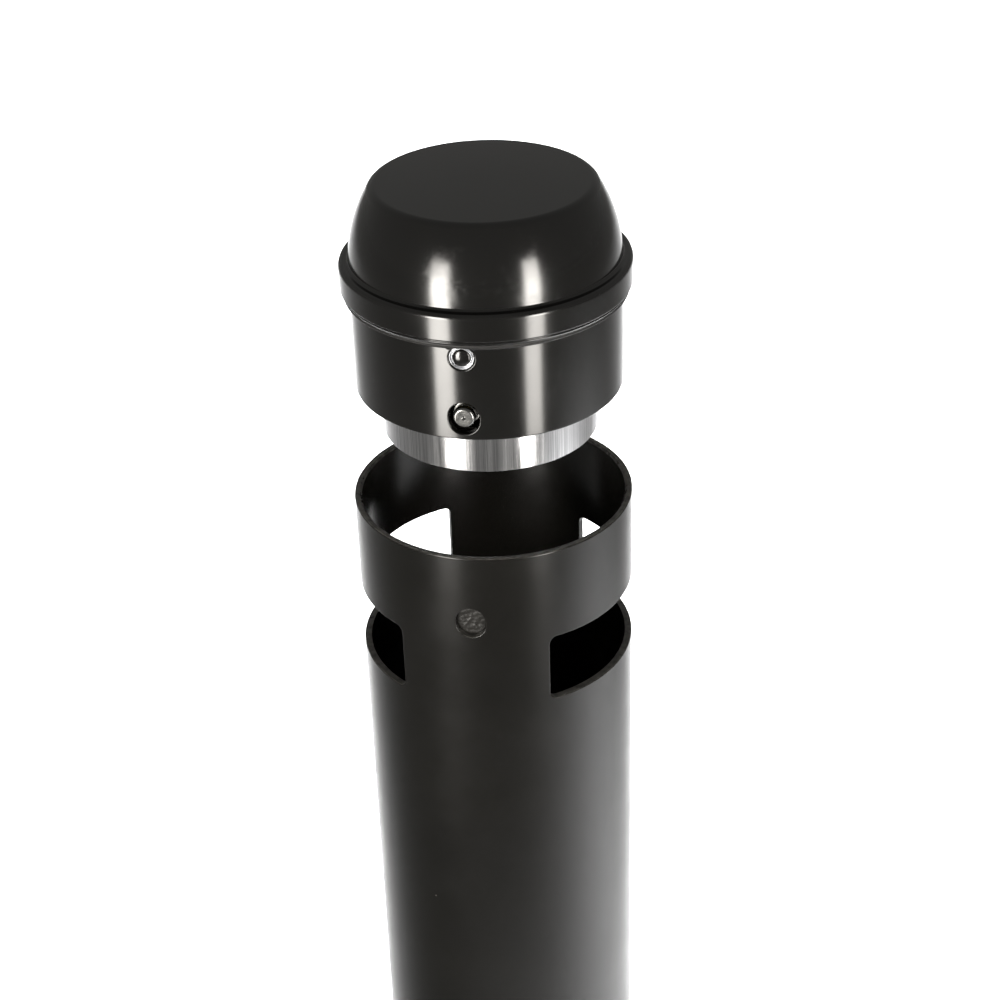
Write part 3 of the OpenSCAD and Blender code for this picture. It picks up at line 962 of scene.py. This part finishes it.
def make_latch():
    """The leaf spring between the screw and the pin, the collar and the pin."""
    z_screw, z_pin = SEAT_Z + SCREW_Z, SEAT_Z + PIN_Z
    half, eye = 4.5, 5.0
    skin = Skin()
    shoulder = z_pin + math.sqrt(eye * eye - half * half) + 0.4
    turns = [math.radians(-115 + 230 * k / 40) for k in range(41)]
    ways = [Vector((math.sin(t), -math.cos(t))) for t in turns]
    bottom = [(Vector((0, z_pin)) + way * eye, way) for way in ways]
    sides = rounded([(half, shoulder), (half, z_screw + 5, 1.2), (-half, z_screw + 5, 1.2),
                     (-half, shoulder)], span=1.5)
    grid = [(u * 1.5, z_pin + 7 + 1.5 * k) for u in (-2, -1, 0, 1, 2) for k in range(9)]
    holes = [circle(0, z_screw, CLAMP_BORE, 32), circle(0, z_pin, SHANK_BORE, 32)]
    plate(skin, upright(skin), bottom + sides, holes, LEAF_BACK, LEAF_Y, 0.18, grid)
    leaf = piece(skin, "latch_spring_leaf", None, "yellow_zinc", ["latch_spring"])
    bend = -box_mm("latch_spring")[0].y * MM
    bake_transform(leaf)

    wide, step = 5.2, 4.7
    collar_front = LEAF_Y + COLLAR_T - 0.02
    front_lathe("pin_collar_ring", "latch", "turned_steel", "pin_collar", z_pin, rounded([
        (SHANK_BORE, LEAF_Y, 0.1), (wide, LEAF_Y, 0.15), (wide, LEAF_Y + 0.75, 0.15),
        (step, LEAF_Y + 0.85, 0.1), (step, collar_front, 0.15),
        (SHANK_BORE, collar_front, 0.1)], closed=True), closed=True)
    root = LEAF_Y + COLLAR_T
    tail = LEAF_BACK - 1.2
    groove_r = PIN_R - 0.25
    front_lathe("latch_pin_turned", "latch", "turned_steel", "latch_pin", z_pin, rounded([
        (0, tail), (PIN_HEAD_R, tail, 0.5), (PIN_HEAD_R, LEAF_BACK, 0.1),
        (SHANK_R, LEAF_BACK, 0.05), (SHANK_R, root, 0.05), (PIN_R, root, 0.15),
        (PIN_R, root + 1.4, 0.1), (groove_r, root + 1.55, 0.08), (groove_r, root + 2.1, 0.08),
        (PIN_R, root + 2.25, 0.1), (PIN_R, PIN_NOSE_Y - PIN_BEVEL, 0.6),
        (PIN_R - PIN_BEVEL, PIN_NOSE_Y, 1.0), (0.9, PIN_NOSE_Y, 0.12), (0, PIN_NOSE_Y - 0.8)]))


# ---- canister ----

def make_canister():
    """The canister: a sheet shell with a swaged ring at each end, a base and a rolled rim."""
    skin = Skin()
    top = box_mm("canister_shell")[1].z
    outer, inner, dent = CAN_R - 0.05, CAN_R - CAN_WALL, 0.35
    swage, reach = 30, 3
    rings = [(CAN_LOW + swage, CAN_LOW + swage + reach, CAN_LOW + swage + 2 * reach),
             (top - swage - 2 * reach, top - swage - reach, top - swage)]

    def swaged(r):
        return [(at_r, z, 2) for ring_z in rings for at_r, z in zip((r, r - dent, r), ring_z)]
    lathe(skin, rounded([
        (inner, CAN_LOW + 0.1, 0.15), (outer, CAN_LOW, 0.3), *swaged(outer), (outer, top, 0.2),
        (inner, top, 0.2), *reversed(swaged(inner))], closed=True, span=40), closed=True)
    piece(skin, "canister_shell_sheet", "canister", "galvanised_steel", ["canister_shell"])

    low, high = box_mm("canister_base")
    skin = Skin()
    lathe(skin, rounded([(0, low.z), (high.x, low.z, 0.25), (high.x, high.z, 0.25),
                         (high.x - 6, high.z, 1), (high.x - 8, high.z - 0.35, 1),
                         (0, high.z - 0.35)]))
    piece(skin, "canister_base_disc", "canister", "galvanised_steel", ["canister_base"])

    low, high = box_mm("canister_rim")
    roll = (high.z - low.z) / 2
    at = high.x - roll
    skin = Skin()
    lathe(skin, [(Vector((at, high.z - roll)) + n * roll, n) for _, n in circle(0, 0, 1, 24)],
          closed=True)
    piece(skin, "canister_rim_roll", "canister", "galvanised_steel", ["canister_rim"])


def make_bail():
    """The canister's wire handle, with the two ears that it turns in and their rivets."""
    low, high = box_mm("bail_ears")
    out, half = high.x, high.y
    face = out - EAR_T
    eye = high.z - BAIL_Z
    ears = Skin()
    for side in (-1, 1):
        arch = [(Vector((0, BAIL_Z)) + n * eye, n) for _, n in circle(0, 0, 1, 48) if n.y > -0.35]
        arch.sort(key=lambda pair: math.atan2(pair[0].x, pair[0].y - BAIL_Z), reverse=True)
        neck = CAN_TOP - 0.8
        outline = (rounded([(-half, neck, 0.8), (-half, low.z, 1.5), (half, low.z, 1.5),
                            (half, neck, 0.8)], span=2) + arch)
        plate(ears, sideways(ears, side), outline, [circle(0, BAIL_Z, BAIL_R, 32)], face, out)
    piece(ears, "bail_ears_plates", "canister", "galvanised_steel", ["bail_ears"])

    rivets = Skin()
    inner_end = box_mm("ear_rivets")[1].x
    for side in (-1, 1):
        for drop in (12, 6):
            one = Skin()
            lathe(one, rounded([
                (0, -inner_end), (2.0, -inner_end, 0.15), (2.0, -face, 0.1), (2.8, -face, 0.1),
                (2.7, -face + 0.5, 0.4), (1.4, -face + 1.0, 0.8), (0, -face + 1.0)]), 32)
            spin = Matrix.Rotation(math.radians(-90 * side), 4, "Y")
            one.place(Matrix.Translation((0, 0, CAN_TOP - drop)) @ spin)
            start = len(rivets.points)
            rivets.points += one.points
            rivets.normals += one.normals
            rivets.faces += [[start + i for i in f] for f in one.faces]
    piece(rivets, "ear_rivets_domed", "canister", "plated_steel", ["ear_rivets"])

    wire = Skin()
    corner = 2.4
    tip = face - 1.6
    line = rounded([(-tip, 0), (-BAIL_LOOP, 0, corner), (-BAIL_LOOP, 6)])
    lead = [Vector((p.x, p.y, BAIL_Z)) for p, _ in line if p.y <= corner + 1e-6]
    start_turn = math.asin(corner / BAIL_LOOP)
    turns = [start_turn + (math.pi - 2 * start_turn) * k / 96 for k in range(1, 96)]
    bend = [Vector((-BAIL_LOOP * math.cos(t), BAIL_LOOP * math.sin(t), BAIL_Z)) for t in turns]
    tail = [Vector((-p.x, p.y, p.z)) for p in reversed(lead)]
    tube(wire, lead + bend + tail, BAIL_R - 0.1)
    piece(wire, "bail_handle_wire", "bail", "plated_steel", ["bail_handle"])


make_post()
make_base()
ring("canister_shelf_ring", "post", "post_paint", "canister_shelf",
     -box_mm("canister_shelf")[0].x - SHELF_WIDTH, 0.5)
make_lock_cover()
make_casting()
make_seal()
make_sleeve()
make_fasteners()
make_stack()
make_latch()
make_canister()
make_bail()


# ---- stage ----

FLOOR_HALF = 30.0      # metres
FLOOR_GLOW = 0.45      # a little glow for the camera's eye, which lights nothing
STRIP_LOW, STRIP_HIGH = 0.46, 1.35
STRIP_DISTANCE = 1.05
STRIP_SPREAD = 70
WARM_WHITE = (1, 0.965, 0.91)
AMBIENT = rgb(0.22, 0.217, 0.208)
BACKDROP = rgb(0.8, 0.8, 0.8)

CAMERA_AZIMUTH = 11.06
CAMERA_PITCH = 30.34
CAMERA_ROLL = 1.98
CAMERA_DISTANCE = 0.8343
CAMERA_LENS = 72.87
CAMERA_SHIFT = (0.0066, -0.015)


def stage_floor():
    """A large pale floor with a very soft mottle."""
    half = FLOOR_HALF
    mesh = bpy.data.meshes.new("floor")
    mesh.from_pydata([(-half, -half, 0), (half, -half, 0), (half, half, 0), (-half, half, 0)], [],
                     [(0, 1, 2, 3)])
    f = Finish("floor_white", Roughness=0.9, Specular_IOR_Level=0.1)
    f.shader.inputs["Emission Color"].default_value = rgb(1, 1, 1)
    seen = f.add("LightPath").outputs["Is Camera Ray"]
    f.set(Base_Color=f.mix(f.noise(0.8, 2, 0.5), rgb(0.86, 0.86, 0.865), rgb(0.9, 0.9, 0.9)),
          Emission_Strength=f.math("MULTIPLY", seen, FLOOR_GLOW))
    mesh.materials.append(f.material)
    floor = bpy.data.objects.new("floor", mesh)
    bpy.context.scene.collection.objects.link(floor)


def make_world():
    """Even light from all round: dim on the object, and pale behind the floor's horizon."""
    world = bpy.data.worlds.new("studio")
    bpy.context.scene.world = world
    world.use_nodes = True
    nodes, links = world.node_tree.nodes, world.node_tree.links
    seen = nodes.new("ShaderNodeLightPath").outputs["Is Camera Ray"]
    tone = nodes.new("ShaderNodeMix")
    tone.data_type = "RGBA"
    links.new(seen, tone.inputs[0])
    tone.inputs[6].default_value = AMBIENT
    tone.inputs[7].default_value = BACKDROP
    links.new(tone.outputs[2], nodes["Background"].inputs["Color"])


def soft_light(name, azimuth, distance, height, size, watts, spread, aim, colour=(1, 1, 1)):
    """A soft rectangular lamp; azimuth 0 is at -Y and 90 at +X, and aim is a point it faces."""
    turn = math.radians(azimuth)
    lamp = bpy.data.lights.new(name, "AREA")
    lamp.shape = "RECTANGLE"
    lamp.size, lamp.size_y = size
    lamp.energy = watts
    lamp.color = colour
    lamp.spread = math.radians(spread)
    made = bpy.data.objects.new(name, lamp)
    made.location = (distance * math.sin(turn), -distance * math.cos(turn), height)
    made.rotation_euler = (Vector(aim) - made.location).to_track_quat("-Z", "Y").to_euler()
    made.visible_camera = False
    bpy.context.scene.collection.objects.link(made)
    return made


def strip(name, azimuth, width, watts):
    """An upright strip softbox in front of the head, for one upright highlight on its side."""
    middle, size = (STRIP_LOW + STRIP_HIGH) / 2, (width, STRIP_HIGH - STRIP_LOW)
    soft_light(name, azimuth, STRIP_DISTANCE, middle, size, watts, STRIP_SPREAD,
               (0, 0, SEAT_Z * MM), WARM_WHITE)


def floor_wash(name, azimuth, distance, height, size, watts, spread):
    """A lamp that looks straight down on the floor beside the post, its length pointing away."""
    turn = math.radians(azimuth)
    spot = (distance * math.sin(turn), -distance * math.cos(turn), 0)
    made = soft_light(name, azimuth, distance, height, size, watts, spread, spot)
    made.rotation_euler = (0, 0, turn)


def make_camera():
    data = bpy.data.cameras.new("camera")
    data.lens = CAMERA_LENS
    data.sensor_width = 36.0
    data.shift_x, data.shift_y = CAMERA_SHIFT
    data.clip_start, data.clip_end = 0.02, 100
    camera = bpy.data.objects.new("camera", data)
    a, e = math.radians(CAMERA_AZIMUTH), math.radians(CAMERA_PITCH)
    back = Vector((math.sin(a) * math.cos(e), -math.cos(a) * math.cos(e), math.sin(e)))
    camera.location = Vector((0, 0, RIM_Z * MM)) + back * CAMERA_DISTANCE
    roll = Matrix.Rotation(math.radians(-CAMERA_ROLL), 3, "Z")
    look = (-back).to_track_quat("-Z", "Y").to_matrix() @ roll
    camera.rotation_euler = look.to_euler()
    bpy.context.scene.collection.objects.link(camera)
    bpy.context.scene.camera = camera


stage_floor()
make_world()
strip("left_strip", CAMERA_AZIMUTH - 37, width=0.28, watts=3.0)
strip("right_strip", CAMERA_AZIMUTH + 36, width=0.24, watts=2.2)
behind, right = CAMERA_AZIMUTH + 180, CAMERA_AZIMUTH + 85
floor_wash("near_wash", behind, 1.5, height=1.7, size=(1.3, 2.0), watts=24, spread=55)
floor_wash("far_wash", behind, 3.6, height=3.2, size=(3.4, 3.0), watts=95, spread=85)
floor_wash("right_wash", right, 1.0, height=1.3, size=(1.0, 1.4), watts=16, spread=70)
floor_wash("front_wash", CAMERA_AZIMUTH, 0.55, height=0.9, size=(0.7, 0.5), watts=0.9, spread=60)
make_camera()
bpy.context.scene.view_settings.view_transform = "Standard"
